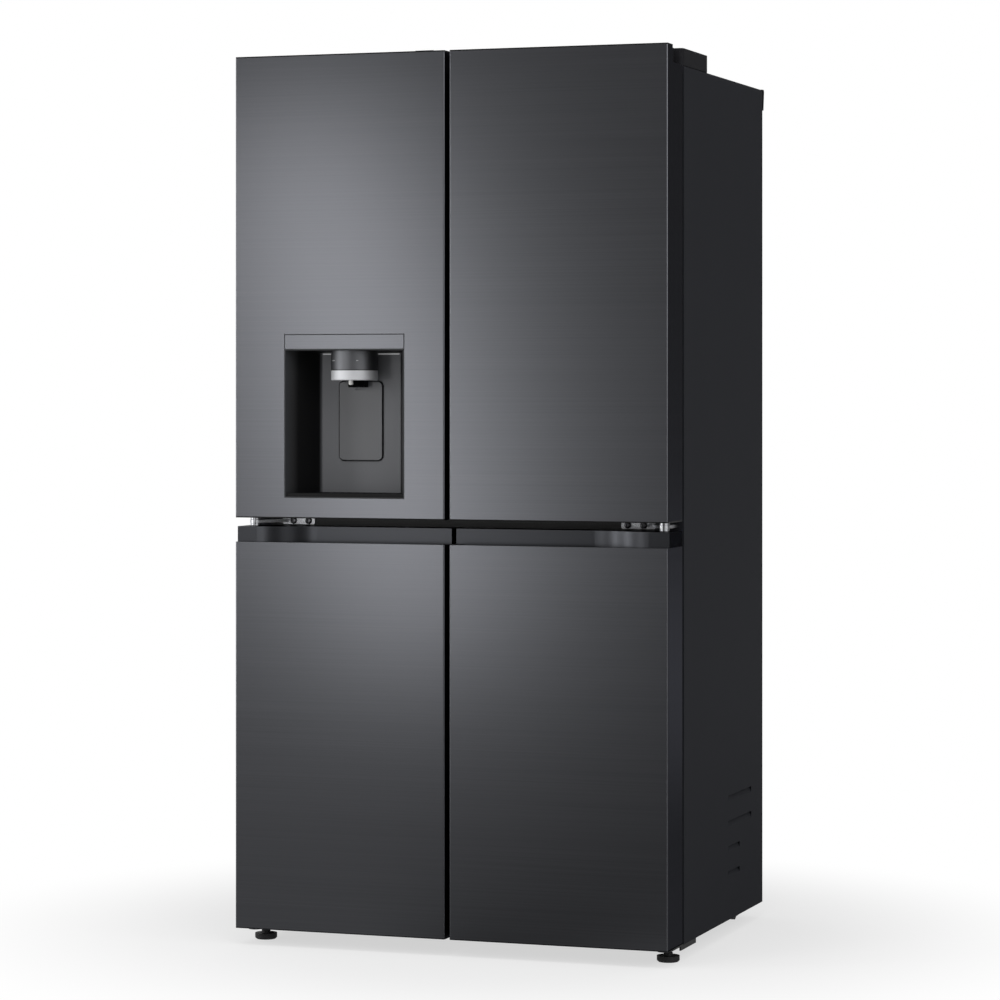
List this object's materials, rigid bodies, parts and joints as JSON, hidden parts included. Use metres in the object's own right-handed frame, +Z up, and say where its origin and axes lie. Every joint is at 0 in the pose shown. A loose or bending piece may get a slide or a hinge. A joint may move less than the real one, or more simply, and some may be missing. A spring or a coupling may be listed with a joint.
{
  "type": "french door refrigerator",
  "caption": "Tall free-standing refrigerator with paired upper and lower doors in dark brushed steel, recessed finger pockets and an ice and water dispenser.",
  "frame": {"origin": "on the floor under the middle of the whole refrigerator", "axes": "+X right as the front is faced, the doors face -Y, +Z up"},
  "size_m": [0.912, 0.724, 1.797],
  "materials": {
    "door_steel": "satin",
    "door_cap": "satin",
    "handle_strip": "satin",
    "cabinet_paint": "satin",
    "back_paint": "matte",
    "black_trim": "matte",
    "black_steel": "satin",
    "foam": "matte",
    "white_liner": "gloss",
    "seal": "matte",
    "shelf_rim": "gloss",
    "shelf_glass": "polished",
    "clear_plastic": "gloss",
    "hinge_steel": "satin",
    "black_plastic": "matte",
    "fan_white": "satin",
    "coil": "satin",
    "bay_plastic": "satin",
    "gloss_dark": "gloss",
    "bright_ring": "polished",
    "nozzle_white": "satin",
    "bar_grey": "satin"
  },
  "bodies": {
    "cabinet": {"cabinet_wrap": "cabinet_paint", "back_panel": "back_paint", "rear_top_trim": "black_trim", "base_pan": "black_steel", "cabinet_foam": "foam", "centre_rail": "black_steel", "freezer_post": "black_steel", "fridge_liner": "white_liner", "freezer_liners": "white_liner", "shelf_frames": "shelf_rim", "shelf_glass": "shelf_glass", "crisper_left": "clear_plastic", "crisper_right": "clear_plastic", "freezer_drawers_left": "clear_plastic", "freezer_drawers_right": "clear_plastic", "air_tower": "white_liner", "evaporator_cover": "white_liner", "evaporator": "coil", "top_hinges": "hinge_steel", "hinge_covers": "black_trim", "mid_hinges": "hinge_steel", "bottom_hinges": "hinge_steel", "machine_cover": "back_paint", "compressor": "black_steel", "condenser": "black_steel", "fan_bracket": "black_plastic", "drain_pan": "black_plastic"},
    "upper_left_door": {"upper_left_skin": "door_steel", "upper_left_caps": "door_cap", "upper_left_liner": "white_liner", "upper_left_gasket": "seal", "dispenser_housing": "bay_plastic", "dispenser_header": "door_steel", "spout_block": "gloss_dark", "spout_ring": "bright_ring", "water_nozzle": "nozzle_white", "drip_tray": "black_plastic", "ice_case": "white_liner", "bins_upper_left": "clear_plastic"},
    "upper_right_door": {"upper_right_skin": "door_steel", "upper_right_caps": "door_cap", "upper_right_liner": "white_liner", "upper_right_gasket": "seal", "bins_upper_right": "clear_plastic"},
    "lower_left_door": {"lower_left_skin": "door_steel", "lower_left_caps": "handle_strip", "lower_left_liner": "white_liner", "lower_left_gasket": "seal"},
    "lower_right_door": {"lower_right_skin": "door_steel", "lower_right_caps": "handle_strip", "lower_right_liner": "white_liner", "lower_right_gasket": "seal"},
    "flip_mullion": {"flip_mullion": "bar_grey"},
    "dispenser_paddle": {"dispenser_paddle": "gloss_dark"},
    "front_foot_left": {"front_foot_left": "black_plastic"},
    "front_foot_right": {"front_foot_right": "black_plastic"},
    "rear_roller_left": {"rear_roller_left": "black_plastic"},
    "rear_roller_right": {"rear_roller_right": "black_plastic"},
    "condenser_fan": {"condenser_fan": "black_plastic"},
    "evaporator_fan": {"evaporator_fan": "fan_white"}
  },
  "joints": [
    {"name": "upper_left_hinge", "type": "hinge", "parent": "cabinet", "child": "upper_left_door", "pos_m": [-0.434, -0.31, 0.865], "axis": [0, 0, -1], "range_deg": [0, 120]},
    {"name": "upper_right_hinge", "type": "hinge", "parent": "cabinet", "child": "upper_right_door", "pos_m": [0.434, -0.31, 0.865], "axis": [0, 0, 1], "range_deg": [0, 120]},
    {"name": "lower_left_hinge", "type": "hinge", "parent": "cabinet", "child": "lower_left_door", "pos_m": [-0.434, -0.31, 0.034], "axis": [0, 0, -1], "range_deg": [0, 120]},
    {"name": "lower_right_hinge", "type": "hinge", "parent": "cabinet", "child": "lower_right_door", "pos_m": [0.434, -0.31, 0.034], "axis": [0, 0, 1], "range_deg": [0, 120]},
    {"name": "mullion_fold", "type": "hinge", "parent": "upper_left_door", "child": "flip_mullion", "pos_m": [-0.03475, -0.2395, 0.907], "axis": [0, 0, 1], "range_deg": [-90, 0]},
    {"name": "paddle_press", "type": "hinge", "parent": "upper_left_door", "child": "dispenser_paddle", "pos_m": [-0.2195, -0.262, 1.1335], "axis": [1, 0, 0], "range_deg": [0, 5], "stiffness_Nm_per_rad": 1.5, "springref_deg": -3.44},
    {"name": "front_foot_left_turn", "type": "hinge", "parent": "cabinet", "child": "front_foot_left", "pos_m": [-0.429, -0.267, 0], "axis": [0, 0, 1], "continuous": true},
    {"name": "rear_roller_left_roll", "type": "hinge", "parent": "cabinet", "child": "rear_roller_left", "pos_m": [-0.4, 0.29, 0.0145], "axis": [1, 0, 0], "continuous": true},
    {"name": "front_foot_right_turn", "type": "hinge", "parent": "cabinet", "child": "front_foot_right", "pos_m": [0.429, -0.267, 0], "axis": [0, 0, 1], "continuous": true},
    {"name": "rear_roller_right_roll", "type": "hinge", "parent": "cabinet", "child": "rear_roller_right", "pos_m": [0.4, 0.29, 0.0145], "axis": [1, 0, 0], "continuous": true},
    {"name": "condenser_fan_spin", "type": "hinge", "parent": "cabinet", "child": "condenser_fan", "pos_m": [-0.063, 0.2484, 0.15], "axis": [1, 0, 0], "continuous": true},
    {"name": "evaporator_fan_spin", "type": "hinge", "parent": "cabinet", "child": "evaporator_fan", "pos_m": [0.215, 0.254, 0.73], "axis": [0, 1, 0], "continuous": true}
  ]
}
